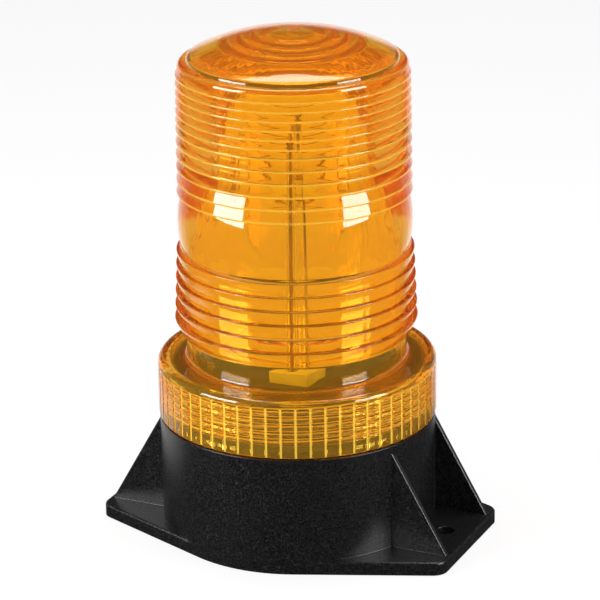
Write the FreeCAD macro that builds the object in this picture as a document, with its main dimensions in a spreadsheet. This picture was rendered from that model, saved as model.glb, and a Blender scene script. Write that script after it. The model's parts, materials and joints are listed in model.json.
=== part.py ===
import FreeCAD, Part
import math
import os
import re

import Sketcher

# A screw-lens xenon strobe beacon on a two-bolt base.  Millimetres.  Z = 0 is the underside of the
# flange, X runs along its two ears, and the lens turns about Z on a right-hand thread.

SIZES = [
    # base moulding
    ("flange_thickness", 4.7),
    ("flange_edge", 0.9),
    ("ear_length", 17.8),
    ("ear_width", 55.4),
    ("ear_corner", 5.5),
    ("shoulder_radius", 49.2),
    ("drum_draft", 0.2),
    ("shoulder_height", 42.8),
    ("shoulder_thickness", 2.6),
    ("base_wall", 2.6),
    ("floor_height", 6.0),
    ("floor_thickness", 2.6),
    ("bolt_inset", 9.8),
    ("bolt_hole", 6.5),
    ("gusset_setback", 8.7),
    ("gusset_thickness", 2.2),
    ("gusset_drop", 3.5),
    ("gusset_inset", 1.4),
    ("gusset_edge", 0.5),
    ("under_rib_count", 6),
    ("under_rib_width", 1.6),
    ("under_rib_start", 12.0),
    ("under_rib_gap", 0.4),
    ("neck_setback", 4.2),
    ("neck_wall", 2.6),
    ("neck_gap", 0.8),
    ("neck_lead_in", 0.8),
    # screw thread between the neck and the lens
    ("thread_clearance", 0.35),
    # lens moulding
    ("lens_gap", 0.8),
    ("collar_overhang", 0.3),
    ("collar_height", 21.0),
    ("collar_edge", 2.5),
    ("ledge_thickness", 2.3),
    ("flute_count", 60),
    ("flute_depth", 0.35),
    ("flute_width", 0.9),
    ("flute_margin", 0.6),
    ("rebate_height", 4.3),
    ("lens_neck_inset", 6.0),
    ("lens_neck_length", 9.8),
    ("lens_neck_wall", 2.0),
    ("neck_flare", 1.2),
    ("neck_fillet", 1.5),
    ("bore_draft", 1.2),
    ("lower_rib_count", 6),
    ("lower_rib_pitch", 5.0),
    ("lower_rib_overhang", 3.9),
    ("lower_rib_taper", 1.1),
    ("rib_depth", 0.7),
    ("band_overhang", 1.1),
    ("band_crown", 1.1),
    ("band_height", 18.6),
    ("band_step", 1.0),
    ("band_rise", 2.15),
    ("upper_rib_overhang", 2.2),
    ("upper_rib_taper", 0.5),
    ("coarse_rib_count", 5),
    ("coarse_rib_pitch", 4.5),
    ("fine_rib_count", 7),
    ("fine_rib_pitch", 3.22),
    ("crown_shoulder", 1.8),
    ("crown_land", 1.1),
    ("crown_corner", 2.2),
    ("crown_sphere", 82.3),
    ("crown_wall", 3.0),
    ("crown_ring_count", 3),
    ("crown_ring_start", 9.0),
    ("crown_ring_pitch", 4.8),
    ("crown_ring_depth", 0.75),
    # lens seal
    ("seal_thickness", 1.9),
    ("seal_clearance", 0.1),
    ("seal_fillet", 0.4),
    # lamp tray and its screws
    ("tray_clearance", 0.2),
    ("tray_wall", 2.3),
    ("tray_floor", 2.0),
    ("tray_depth", 6.9),
    ("tray_fillet", 1.0),
    ("post_count", 4),
    ("post_inset", 6.4),
    ("post_diameter", 8.0),
    ("post_web", 3.0),
    ("screw_shank", 2.9),
    ("screw_head", 5.4),
    ("screw_head_height", 1.9),
    ("screw_length", 10.0),
    ("screw_clearance", 0.15),
    # flash tube and its holder
    ("holder_width", 15.0),
    ("holder_height", 6.4),
    ("holder_edge", 0.8),
    ("spigot_width", 11.0),
    ("spigot_length", 5.0),
    ("spigot_clearance", 0.15),
    ("tube_spacing", 8.2),
    ("tube_diameter", 3.6),
    ("tube_wall", 0.6),
    ("tube_length", 71.0),
    ("tube_seat", 4.0),
    ("sleeve_diameter", 3.4),
    ("sleeve_wall", 0.7),
    ("sleeve_drop", 4.0),
    ("lead_diameter", 1.3),
    ("link_radius", 2.6),
    ("electrode_diameter", 1.3),
    ("electrode_length", 9.0),
    ("electrode_tail", 2.2),
    ("electrode_bead", 2.5),
    ("trigger_rise", 51.3),
    ("trigger_diameter", 0.6),
    ("wire_diameter", 1.5),
    ("glass_clearance", 0.1),
    # circuit board and its screws
    ("board_radius", 31.0),
    ("board_thickness", 1.6),
    ("board_height", 12.0),
    ("board_clearance", 1.5),
    ("boss_count", 3),
    ("boss_circle", 24.3),
    ("boss_diameter", 7.0),
    ("board_screw_length", 7.0),
    # electronics on the board
    ("solder_gap", 0.05),
    ("overcut", 1.0),
    ("capacitor_diameter", 18.0),
    ("capacitor_length", 31.0),
    ("capacitor_y", -17.5),
    ("capacitor_pitch", 7.2),
    ("crimp_depth", 0.8),
    ("crimp_inset", 3.5),
    ("core_length", 20.0),
    ("core_depth", 10.0),
    ("core_height", 20.0),
    ("core_limb", 4.6),
    ("core_x", -9.0),
    ("core_y", 12.0),
    ("bobbin_wall", 0.9),
    ("bobbin_clearance", 0.1),
    ("coil_diameter", 9.0),
    ("coil_height", 13.0),
    ("coil_flange", 1.6),
    ("coil_x", 7.0),
    ("coil_y", 8.5),
    ("film_length", 10.5),
    ("film_depth", 4.5),
    ("film_height", 9.0),
    ("film_pitch", 7.0),
    ("film_edge", 0.8),
    ("film_x", -13.0),
    ("film_y", -2.5),
    ("sink_width", 13.0),
    ("sink_depth", 8.0),
    ("sink_height", 24.0),
    ("sink_plate", 1.6),
    ("sink_fin", 1.2),
    ("sink_fin_count", 4),
    ("sink_x", 19.0),
    ("sink_y", 0.5),
    ("package_width", 10.0),
    ("package_height", 9.0),
    ("package_depth", 4.4),
    ("tab_height", 6.5),
    ("tab_thickness", 1.3),
    ("tab_hole", 3.6),
    ("pin_width", 0.8),
    ("pin_pitch", 2.54),
    ("pin_length", 4.5),
    ("pin_root", 2.0),
    ("rivet_head", 5.2),
    ("rivet_height", 1.4),
    ("thyristor_x", 8.5),
    ("thyristor_y", -3.5),
    ("thyristor_width", 5.0),
    ("thyristor_depth", 3.8),
    ("thyristor_height", 5.2),
    ("diode_count", 2),
    ("diode_diameter", 2.7),
    ("diode_length", 5.2),
    ("diode_x", -9.5),
    ("diode_y", 22.4),
    ("diode_pitch", 3.3),
    ("resistor_diameter", 2.4),
    ("resistor_length", 6.3),
    ("resistor_x", 20.0),
    ("resistor_y", 10.4),
    ("bleed_x", -1.5),
    ("bleed_y", -6.7),
    ("wire_lead", 0.7),
    ("lead_reach", 2.2),
    ("lead_rise", 2.0),
    ("lead_bend", 1.0),
    ("fuse_diameter", 5.2),
    ("fuse_length", 20.0),
    ("fuse_cap", 4.5),
    ("fuse_wall", 0.5),
    ("clip_length", 5.5),
    ("clip_thickness", 0.5),
    ("clip_lift", 1.2),
    ("clip_mouth", 4.7),
    ("fuse_x", -23.6),
    ("fuse_y", 2.0),
    ("terminal_width", 10.2),
    ("terminal_depth", 8.0),
    ("terminal_height", 10.0),
    ("terminal_x", 15.0),
    ("terminal_y", 18.0),
    ("terminal_pitch", 5.08),
    ("terminal_screw", 3.4),
    ("terminal_slot", 2.6),
    ("terminal_sill", 1.7),
    ("terminal_well", 5.0),
    ("terminal_head", 3.4),
    # cable inlet
    ("inlet_hole", 12.0),
    ("grommet_flange", 16.0),
    ("grommet_bore", 6.4),
    ("grommet_lip", 1.6),
    ("grommet_clearance", 0.1),
]

DERIVED = [
    ("foot_radius", "shoulder_radius - drum_draft"),
    ("collar_radius", "shoulder_radius + collar_overhang"),
    ("neck_radius", "shoulder_radius - neck_setback"),
    ("flange_length", "2 * (foot_radius + ear_length)"),
    ("bolt_spacing", "flange_length - 2 * bolt_inset"),
    ("gusset_spacing", "ear_width - 2 * gusset_setback"),
    ("gusset_height", "shoulder_height - gusset_drop"),
    ("ear_x", "flange_length / 2 - ear_corner"),
    ("ear_y", "ear_width / 2 - ear_corner"),
    ("ear_reach", "ear_x ^ 2 + ear_y ^ 2"),
    ("ear_fall", "foot_radius - ear_corner"),
    ("ear_rise", "sqrt(ear_reach - ear_fall ^ 2)"),
    ("tangent_x", "(ear_x * ear_fall - ear_y * ear_rise) / ear_reach"),
    ("tangent_y", "(ear_y * ear_fall + ear_x * ear_rise) / ear_reach"),
    ("floor_under", "floor_height - floor_thickness"),
    ("cavity_radius", "foot_radius - base_wall"),
    ("neck_bore", "neck_radius - neck_wall"),
    ("gusset_root", "sqrt((foot_radius - base_wall / 2) ^ 2 - (gusset_spacing / 2) ^ 2)"),
    ("gusset_wall", "sqrt(shoulder_radius ^ 2 - (gusset_spacing / 2) ^ 2)"),
    ("gusset_toe", "flange_length / 2 - gusset_inset"),
    ("gusset_slope", "(gusset_height - flange_thickness) / (gusset_toe - gusset_wall)"),
    ("post_circle", "neck_bore - post_inset"),
    ("lens_foot", "shoulder_height + lens_gap"),
    ("tray_base", "neck_height - tray_depth - tray_floor"),
    ("tray_radius", "neck_bore - tray_clearance"),
    ("thread_bore", "neck_radius + thread_clearance"),
    ("rebate_radius", "neck_radius + 2 * seal_clearance + seal_thickness"),
    ("ledge_height", "lens_foot + collar_height"),
    ("lens_neck_radius", "neck_radius - lens_neck_inset"),
    ("lens_bore", "lens_neck_radius - lens_neck_wall"),
    ("rebate_top", "lens_foot + rebate_height"),
    ("ledge_under", "ledge_height - ledge_thickness"),
    ("neck_height", "ledge_under - neck_gap"),
    ("lower_rib_start", "ledge_height + lens_neck_length"),
    ("lower_rib_radius", "lens_neck_radius + lower_rib_overhang"),
    ("band_edge_radius", "lens_neck_radius + band_overhang"),
    ("upper_rib_radius", "lens_neck_radius + upper_rib_overhang"),
    ("lower_rib_end", "lower_rib_start + lower_rib_count * lower_rib_pitch"),
    ("band_end", "lower_rib_end + band_height"),
    ("upper_rib_start", "band_end + band_rise"),
    ("fine_rib_start", "upper_rib_start + coarse_rib_count * coarse_rib_pitch"),
    ("upper_rib_end", "fine_rib_start + fine_rib_count * fine_rib_pitch"),
    ("crown_foot", "upper_rib_end + crown_shoulder"),
    ("crown_rim", "upper_rib_radius - rib_depth - upper_rib_taper"),
    ("crown_radius", "crown_rim - crown_shoulder - crown_land"),
    ("crown_centre", "crown_radius - crown_corner"),
    ("crown_drop", "sqrt((crown_sphere - crown_corner) ^ 2 - crown_centre ^ 2)"),
    ("crown_sphere_x", "crown_centre * crown_sphere / (crown_sphere - crown_corner)"),
    ("crown_sphere_z", "crown_drop * crown_sphere / (crown_sphere - crown_corner)"),
    ("crown_origin", "crown_foot - crown_drop"),
    ("vault_radius", "lens_bore - bore_draft"),
    ("vault_sphere", "crown_sphere - crown_wall"),
    ("vault_rise", "sqrt(vault_sphere ^ 2 - vault_radius ^ 2)"),
    ("seal_inner", "neck_radius + seal_clearance"),
    ("seal_top", "rebate_top - seal_clearance"),
    ("tray_top", "tray_base + tray_floor"),
    ("holder_top", "tray_top + holder_height"),
    ("tube_foot", "holder_top - tube_seat"),
    ("tube_top", "tube_foot + tube_length"),
    ("sleeve_top", "tube_top - sleeve_drop"),
    ("trigger_height", "tube_foot + trigger_rise"),
    ("spigot_foot", "tray_top - spigot_length"),
    ("trigger_reach", "tube_diameter / 2 + trigger_diameter / 2 + solder_gap"),
    ("board_top", "board_height + board_thickness"),
    ("window_width", "(core_length - 3 * core_limb) / 2"),
    ("window_height", "core_height - 2 * core_limb"),
    ("bobbin_width", "core_limb + 2 * (bobbin_clearance + bobbin_wall)"),
    ("bobbin_depth", "core_depth + 2 * (bobbin_clearance + bobbin_wall)"),
    ("coil_wall", "window_width - 2 * bobbin_clearance - bobbin_wall"),
    ("part_seat", "board_top + solder_gap"),
    ("tab_hole_height", "part_seat + pin_length + package_height + tab_height / 2"),
    ("inlet_radius", "inlet_hole / 2"),
    ("grommet_top", "floor_height + grommet_lip"),
    ("grommet_foot", "floor_under - grommet_lip"),
]

doc = FreeCAD.newDocument("StrobeBeacon")
sheet = doc.addObject("Spreadsheet::Sheet", "Sizes")
NAMES = [name for name, _ in SIZES + DERIVED]
NAME = re.compile(r"\b(" + "|".join(sorted(NAMES, key=len, reverse=True)) + r")\b")
parts = []


def fill_sheet():
    for row, (name, content) in enumerate(SIZES + DERIVED, start=1):
        sheet.set(f"A{row}", name)
        sheet.set(f"B{row}", str(content) if row <= len(SIZES) else "=" + content)
        sheet.setAlias(f"B{row}", name)
    doc.recompute()


def cells(formula):
    """A formula in size names, written as the document's expression."""
    return NAME.sub(r"Sizes.\1", formula)


def value(formula):
    """The number that a formula in size names gives now."""
    result = sheet.evalExpression(formula)
    return float(getattr(result, "Value", result))


def bind(thing, **formulas):
    for name, formula in formulas.items():
        thing.setExpression(name, cells(formula))


def seat(thing, x="0", y="0", z="0"):
    for axis, formula in (("x", x), ("y", y), ("z", z)):
        thing.setExpression(f"Placement.Base.{axis}", cells(formula))


def keep(thing, label):
    """Mark a finished sub-part: its label names its file."""
    thing.Label = label
    parts.append(thing)
    return thing


# ---- PartDesign helpers ------------------------------------------------------------------------

def body_of(label):
    body = doc.addObject("PartDesign::Body", label)
    return keep(body, label)


def sketch_on(body, plane, height=None, name="Sketch"):
    """A sketch on one of the body's own origin planes, lifted along the plane's normal."""
    sketch = body.newObject("Sketcher::SketchObject", name)
    face = [item for item in body.Origin.OriginFeatures if item.Role == plane][0]
    sketch.AttachmentSupport = [(face, "")]
    sketch.MapMode = "FlatFace"
    if height is not None:
        sketch.setExpression(".AttachmentOffset.Base.z", cells(height))
    return sketch


def arc_between(start, end, radius):
    """The short arc from start to end: a positive radius turns left, a negative one right."""
    chord = end - start
    half = chord.Length / 2
    reach = math.sqrt(max(radius * radius - half * half, 0.0))
    side = FreeCAD.Vector(-chord.y, chord.x, 0).normalize() * math.copysign(reach, radius)
    centre = start + chord / 2 + side
    first = math.atan2(start.y - centre.y, start.x - centre.x)
    last = math.atan2(end.y - centre.y, end.x - centre.x)
    if radius < 0:
        first, last = last, first
    circle = Part.Circle(centre, FreeCAD.Vector(0, 0, 1), abs(radius))
    return Part.ArcOfCircle(circle, first, last)


def outline(sketch, corners):
    """Close a line through (x, y) corners.  A corner (x, y, radius) is reached along an arc."""
    spots = [FreeCAD.Vector(value(corner[0]), value(corner[1]), 0) for corner in corners]
    ends = []
    for index, corner in enumerate(corners):
        start = spots[index - 1]
        end = spots[index]
        if len(corner) == 3:
            radius = value(corner[2])
            edge = sketch.addGeometry(arc_between(start, end, radius), False)
            ends.append((edge, 1, 2) if radius > 0 else (edge, 2, 1))
        else:
            edge = sketch.addGeometry(Part.LineSegment(start, end), False)
            ends.append((edge, 1, 2))
    for index, corner in enumerate(corners):
        edge, first, last = ends[index]
        following, next_first, _ = ends[(index + 1) % len(ends)]
        sketch.addConstraint(Sketcher.Constraint("Coincident", edge, last, following, next_first))
        for kind, formula, number in (("DistanceX", corner[0], spots[index].x),
                                      ("DistanceY", corner[1], spots[index].y)):
            place = sketch.addConstraint(Sketcher.Constraint(kind, -1, 1, edge, last, number))
            if formula != "0":
                sketch.setExpression(f"Constraints[{place}]", cells(formula))
        if len(corner) == 3:
            size = sketch.addConstraint(Sketcher.Constraint("Radius", edge, abs(value(corner[2]))))
            sketch.setExpression(f"Constraints[{size}]", cells(corner[2].lstrip("-")))


def circle(sketch, x, y, radius):
    centre = FreeCAD.Vector(value(x), value(y), 0)
    ring = sketch.addGeometry(Part.Circle(centre, FreeCAD.Vector(0, 0, 1), value(radius)), False)
    for kind, formula, number in (("DistanceX", x, centre.x), ("DistanceY", y, centre.y)):
        place = sketch.addConstraint(Sketcher.Constraint(kind, -1, 1, ring, 3, number))
        if formula != "0":
            sketch.setExpression(f"Constraints[{place}]", cells(formula))
    size = sketch.addConstraint(Sketcher.Constraint("Radius", ring, value(radius)))
    sketch.setExpression(f"Constraints[{size}]", cells(radius))


def rectangle(sketch, x_low, y_low, x_high, y_high):
    outline(sketch, [(x_low, y_low), (x_high, y_low), (x_high, y_high), (x_low, y_high)])


def feature(body, kind, profile, label, **settings):
    made = body.newObject("PartDesign::" + kind, label)
    made.Profile = profile
    for name, setting in settings.items():
        setattr(made, name, setting)
    return made


def revolve(body, corners, label, cut=False):
    """Turn a profile in the X-Z plane about Z."""
    sketch = sketch_on(body, "XZ_Plane", name=label + "Profile")
    outline(sketch, corners)
    kind = "Groove" if cut else "Revolution"
    made = feature(body, kind, sketch, label, ReferenceAxis=(sketch, ["V_Axis"]), Angle=360.0)
    doc.recompute()
    return made


def pad(body, sketch, label, length, **settings):
    made = feature(body, "Pad", sketch, label, **settings)
    bind(made, Length=length)
    doc.recompute()
    return made


def pocket(body, sketch, label, length=None, **settings):
    made = feature(body, "Pocket", sketch, label, **settings)
    if length is None:
        made.Type = "ThroughAll"
    else:
        bind(made, Length=length)
    doc.recompute()
    return made


def polar(body, originals, label, count, angle=360.0):
    """Repeat features about Z."""
    made = body.newObject("PartDesign::PolarPattern", label)
    made.Originals = originals
    axis = [item for item in body.Origin.OriginFeatures if item.Role == "Z_Axis"][0]
    made.Axis = (axis, [""])
    made.Angle = angle
    made.setExpression("Occurrences", cells(count))
    body.Tip = made
    doc.recompute()
    return made


def mirrored(body, originals, label, plane):
    made = body.newObject("PartDesign::Mirrored", label)
    made.Originals = originals
    face = [item for item in body.Origin.OriginFeatures if item.Role == plane][0]
    made.MirrorPlane = (face, [""])
    body.Tip = made
    doc.recompute()
    return made


def fillet(body, base, label, radius, chosen):
    """Round the edges of a feature that the test picks."""
    names = [f"Edge{index}" for index, edge in enumerate(base.Shape.Edges, start=1) if chosen(edge)]
    made = body.newObject("PartDesign::Fillet", label)
    made.Base = (base, names)
    bind(made, Radius=radius)
    doc.recompute()
    return made


# ---- Part helpers ------------------------------------------------------------------------------

def box(length, width, height, x="0", y="0", z="0"):
    """A block centred on x and y and standing on z."""
    made = doc.addObject("Part::Box", "Block")
    bind(made, Length=length, Width=width, Height=height)
    seat(made, f"({x}) - ({length}) / 2", f"({y}) - ({width}) / 2", z)
    return made


def rod(radius, height, x="0", y="0", z="0", turn=None):
    """A cylinder from (x, y, z), along +Z or, turned, along X or Y."""
    made = doc.addObject("Part::Cylinder", "Rod")
    bind(made, Radius=radius, Height=height)
    if turn == "X":
        made.Placement.Rotation = FreeCAD.Rotation(FreeCAD.Vector(0, 1, 0), 90)
    if turn == "Y":
        made.Placement.Rotation = FreeCAD.Rotation(FreeCAD.Vector(1, 0, 0), -90)
    seat(made, x, y, z)
    return made


def joined(*pieces):
    made = doc.addObject("Part::MultiFuse", "Joined")
    made.Shapes = list(pieces)
    return made


def cut(base, tool):
    made = doc.addObject("Part::Cut", "Cut")
    made.Base = base
    made.Tool = tool
    return made


def group(*pieces):
    made = doc.addObject("Part::Compound", "Group")
    made.Links = list(pieces)
    return made


def softened(base, radius, chosen):
    """Round the edges of a Part shape that the test picks."""
    doc.recompute()
    size = value(radius)
    made = doc.addObject("Part::Fillet", "Softened")
    made.Base = base
    made.Edges = [(index, size, size)
                  for index, edge in enumerate(base.Shape.Edges, start=1) if chosen(edge)]
    return made


def upright(edge):
    ends = [vertex.Point for vertex in edge.Vertexes]
    return len(ends) == 2 and (ends[0] - ends[1]).cross(FreeCAD.Vector(0, 0, 1)).Length < 1e-6


def level_at(formula):
    """A test for edges that lie in the level plane at a height."""
    height = value(formula)
    return lambda edge: max(abs(edge.BoundBox.ZMin - height), abs(edge.BoundBox.ZMax - height)) < 1e-4


# ---- base moulding -----------------------------------------------------------------------------

def flange(body):
    """Two ears joined to the drum's circle by tangents."""
    plan = sketch_on(body, "XY_Plane", name="FlangePlan")
    touch_x = "foot_radius * tangent_x"
    touch_y = "foot_radius * tangent_y"
    corner_x = "ear_x + ear_corner * tangent_x"
    corner_y = "ear_y + ear_corner * tangent_y"
    end_x = "flange_length / 2"
    outline(plan, [
        (end_x, "-ear_y", "ear_corner"),
        (end_x, "ear_y"),
        (corner_x, corner_y, "ear_corner"),
        (touch_x, touch_y),
        (f"-({touch_x})", touch_y, "foot_radius"),
        (f"-({corner_x})", corner_y),
        (f"-({end_x})", "ear_y", "ear_corner"),
        (f"-({end_x})", "-ear_y"),
        (f"-({corner_x})", f"-({corner_y})", "ear_corner"),
        (f"-({touch_x})", f"-({touch_y})"),
        (touch_x, f"-({touch_y})", "foot_radius"),
        (corner_x, f"-({corner_y})"),
    ])
    plate = pad(body, plan, "Flange", "flange_thickness")
    return fillet(body, plate, "FlangeEdge", "flange_edge", level_at("flange_thickness"))


def sloping(edge):
    """The two long edges of each gusset's ridge, the only long ones that slant."""
    run = edge.BoundBox
    return run.YLength < 1e-4 and min(run.XLength, run.ZLength) > value("gusset_thickness")


def gussets(body):
    """A pair of sloping webs on each ear, from under the shoulder to the ear's end."""
    side = sketch_on(body, "XZ_Plane", "gusset_spacing / 2", name="GussetProfile")
    for sign in ("", "-"):
        outline(side, [
            (f"{sign}gusset_root", "floor_height / 2"),
            (f"{sign}gusset_toe", "floor_height / 2"),
            (f"{sign}gusset_toe", "flange_thickness"),
            (f"{sign}gusset_wall", "gusset_height"),
            (f"{sign}gusset_root", "gusset_height + gusset_slope * (gusset_wall - gusset_root)"),
        ])
    near = pad(body, side, "Gussets", "gusset_thickness", Midplane=True)
    pairs = mirrored(body, [near], "GussetPairs", "XZ_Plane")
    return fillet(body, pairs, "GussetRidges", "gusset_edge", sloping)


def under_ribs(body):
    """Radial ribs in the hollow under the floor, clear of the ground and of the cable's hole."""
    plan = sketch_on(body, "XY_Plane", "under_rib_gap", name="UnderRibPlan")
    rectangle(plan, "under_rib_start", "-under_rib_width / 2", "foot_radius - base_wall / 2",
              "under_rib_width / 2")
    first = pad(body, plan, "UnderRib", "floor_height - floor_thickness / 2 - under_rib_gap")
    return polar(body, [first], "UnderRibs", "under_rib_count")


def posts(body):
    """Screw posts for the lamp tray: round columns webbed to the drum and neck walls."""
    column = sketch_on(body, "XY_Plane", "floor_height", name="PostPlan")
    circle(column, "post_circle", "0", "post_diameter / 2")
    first = pad(body, column, "Post", "tray_base - floor_height")
    web = sketch_on(body, "XY_Plane", "floor_height", name="PostWebPlan")
    rectangle(web, "post_circle", "-post_web / 2", "neck_radius - neck_wall / 2", "post_web / 2")
    second = pad(body, web, "PostWeb", "tray_base - floor_height")
    rib = sketch_on(body, "XY_Plane", "floor_height", name="PostRibPlan")
    rectangle(rib, "neck_bore", "-post_web / 2", "foot_radius - base_wall / 2", "post_web / 2")
    third = pad(body, rib, "PostRib", "shoulder_height - shoulder_thickness / 2 - floor_height")
    drill = sketch_on(body, "XY_Plane", "tray_base", name="PostDrill")
    circle(drill, "post_circle", "0", "screw_shank / 2 + screw_clearance")
    fourth = pocket(body, drill, "PostHole", "screw_length")
    return polar(body, [first, second, third, fourth], "Posts", "post_count")


def bosses(body):
    """Short bosses on the floor for the circuit board."""
    column = sketch_on(body, "XY_Plane", "floor_height", name="BossPlan")
    circle(column, "0", "boss_circle", "boss_diameter / 2")
    first = pad(body, column, "Boss", "board_height - floor_height")
    drill = sketch_on(body, "XY_Plane", "board_height", name="BossDrill")
    circle(drill, "0", "boss_circle", "screw_shank / 2 + screw_clearance")
    second = pocket(body, drill, "BossHole", "board_screw_length - board_thickness + screw_clearance")
    return polar(body, [first, second], "Bosses", "boss_count")


def base_housing():
    """Flange, drum and neck in one moulding, gusseted on both ears and hollow inside."""
    body = body_of("base_housing")
    flange(body)
    shoulder_under = "shoulder_height - shoulder_thickness"
    revolve(body, [
        ("0", "0"),
        ("foot_radius", "0"),
        ("foot_radius", "flange_thickness"),
        ("shoulder_radius", "shoulder_height"),
        ("neck_radius", "shoulder_height"),
        ("neck_radius", "neck_height - neck_lead_in"),
        ("neck_radius - neck_lead_in", "neck_height"),
        ("neck_bore", "neck_height"),
        ("neck_bore", shoulder_under),
        ("cavity_radius", shoulder_under),
        ("cavity_radius", "floor_height"),
        ("0", "floor_height"),
    ], "Drum")
    gussets(body)
    revolve(body, [
        ("0", "0"),
        ("cavity_radius", "0"),
        ("cavity_radius", "floor_under"),
        ("0", "floor_under"),
    ], "Underside", cut=True)
    under_ribs(body)
    posts(body)
    bosses(body)
    holes = sketch_on(body, "XY_Plane", name="BoltHolePlan")
    circle(holes, "bolt_spacing / 2", "0", "bolt_hole / 2")
    circle(holes, "-bolt_spacing / 2", "0", "bolt_hole / 2")
    pocket(body, holes, "BoltHoles", Reversed=True)
    inlet = sketch_on(body, "XY_Plane", name="InletPlan")
    circle(inlet, "0", "0", "inlet_radius")
    pocket(body, inlet, "CableInlet", Reversed=True)


# ---- lens moulding -----------------------------------------------------------------------------

def rings(start, radius, taper, count, pitch, first, total):
    """Convex rib rings, valley to valley: each is one arc as deep as rib_depth."""
    bow = f"(({pitch}) ^ 2 / 4 + rib_depth ^ 2) / (2 * rib_depth)"
    for index in range(1, int(value(count)) + 1):
        fall = f"({taper}) * ({first} + {index}) / ({total})"
        yield (f"{radius} - rib_depth - {fall}", f"{start} + {index} * {pitch}", bow)


def crown_rings():
    """Convex rings round the middle of the vault, inside the crown."""
    bow = "(crown_ring_pitch ^ 2 / 4 + crown_ring_depth ^ 2) / (2 * crown_ring_depth)"
    for index in range(int(value("crown_ring_count")) + 1):
        radius = f"crown_ring_start + {index} * crown_ring_pitch"
        height = f"crown_origin + sqrt(vault_sphere ^ 2 - ({radius}) ^ 2)"
        yield (radius, height, bow if index else "-vault_sphere")


def lens():
    """Screw collar with flutes, plain neck, two banks of rib rings, a convex belt and a domed crown."""
    body = body_of("lens")
    upper_total = "(coarse_rib_count + fine_rib_count)"
    belt = "band_height - band_step"
    section = [
        ("rebate_radius", "lens_foot"),
        ("collar_radius", "lens_foot"),
        ("collar_radius", "ledge_height - collar_edge"),
        ("collar_radius - collar_edge", "ledge_height", "collar_edge"),
        ("lens_neck_radius + neck_fillet", "ledge_height"),
        ("lens_neck_radius", "ledge_height + neck_fillet", "-neck_fillet"),
        ("lens_neck_radius", "lower_rib_start - neck_flare"),
        ("lower_rib_radius - rib_depth", "lower_rib_start"),
    ]
    section += rings("lower_rib_start", "lower_rib_radius", "lower_rib_taper",
                     "lower_rib_count", "lower_rib_pitch", "0", "lower_rib_count")
    section += [
        ("band_edge_radius", "lower_rib_end + band_step"),
        ("band_edge_radius", "band_end", f"(({belt}) ^ 2 / 4 + band_crown ^ 2) / (2 * band_crown)"),
        ("upper_rib_radius - rib_depth", "upper_rib_start"),
    ]
    section += rings("upper_rib_start", "upper_rib_radius", "upper_rib_taper",
                     "coarse_rib_count", "coarse_rib_pitch", "0", upper_total)
    section += rings("fine_rib_start", "upper_rib_radius", "upper_rib_taper",
                     "fine_rib_count", "fine_rib_pitch", "coarse_rib_count", upper_total)
    section += [
        ("crown_rim - crown_shoulder", "crown_foot", "crown_shoulder"),
        ("crown_radius", "crown_foot"),
        ("crown_sphere_x", "crown_origin + crown_sphere_z", "crown_corner"),
        ("0", "crown_origin + crown_sphere", "crown_sphere"),
        ("0", "crown_origin + vault_sphere"),
    ]
    section += crown_rings()
    section += [
        ("vault_radius", "crown_origin + vault_rise", "-vault_sphere"),
        ("lens_bore", "ledge_under"),
        ("thread_bore", "ledge_under"),
        ("thread_bore", "rebate_top"),
        ("rebate_radius", "rebate_top"),
    ]
    revolve(body, section, "Shell")
    plan = sketch_on(body, "XY_Plane", "lens_foot", name="FlutePlan")
    outline(plan, [
        ("collar_radius - flute_depth", "0"),
        ("collar_radius + flute_depth", "-flute_width"),
        ("collar_radius + flute_depth", "flute_width"),
    ])
    flute = pocket(body, plan, "Flute", "collar_height - collar_edge - flute_margin", Reversed=True)
    polar(body, [flute], "Flutes", "flute_count")


def lens_seal():
    """Flat-sided rubber ring in the collar's rebate."""
    body = body_of("lens_seal")
    ring = revolve(body, [
        ("seal_inner", "shoulder_height"),
        ("seal_inner + seal_thickness", "shoulder_height"),
        ("seal_inner + seal_thickness", "seal_top"),
        ("seal_inner", "seal_top"),
    ], "Ring")
    fillet(body, ring, "RingEdges", "seal_fillet", lambda edge: len(edge.Vertexes) == 1)


# ---- lamp tray, holder and flash tube ----------------------------------------------------------

def lamp_tray():
    """A dished plate that drops into the neck, with a square window and four screw holes."""
    body = body_of("lamp_tray")
    inner = "tray_radius - tray_wall"
    revolve(body, [
        ("0", "tray_base"),
        ("tray_radius", "tray_base"),
        ("tray_radius", "neck_height"),
        (inner, "neck_height"),
        (inner, "tray_top + tray_fillet"),
        (f"{inner} - tray_fillet", "tray_top", "-tray_fillet"),
        ("0", "tray_top"),
    ], "Dish")
    window = sketch_on(body, "XY_Plane", "tray_base", name="WindowPlan")
    half = "spigot_width / 2 + spigot_clearance"
    rectangle(window, f"-({half})", f"-({half})", half, half)
    pocket(body, window, "Window", "tray_floor", Reversed=True)
    drill = sketch_on(body, "XY_Plane", "tray_base", name="ScrewPlan")
    circle(drill, "post_circle", "0", "screw_shank / 2 + screw_clearance")
    hole = pocket(body, drill, "ScrewHole", "tray_floor", Reversed=True)
    polar(body, [hole], "ScrewHoles", "post_count")


def screws(label, count, ring, seat_height, length, first_angle):
    """Pan-head screws on a circle, their heads resting on seat_height."""
    pieces = []
    for index in range(int(value(count))):
        angle = f"{first_angle} + {index} * 360 / {count}"
        x = f"{ring} * cos({angle})"
        y = f"{ring} * sin({angle})"
        head = rod("screw_head / 2", "screw_head_height", x, y, seat_height)
        shank = rod("screw_shank / 2", length, x, y, f"{seat_height} - ({length})")
        pieces.append(joined(head, shank))
    keep(group(*pieces), label)


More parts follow.
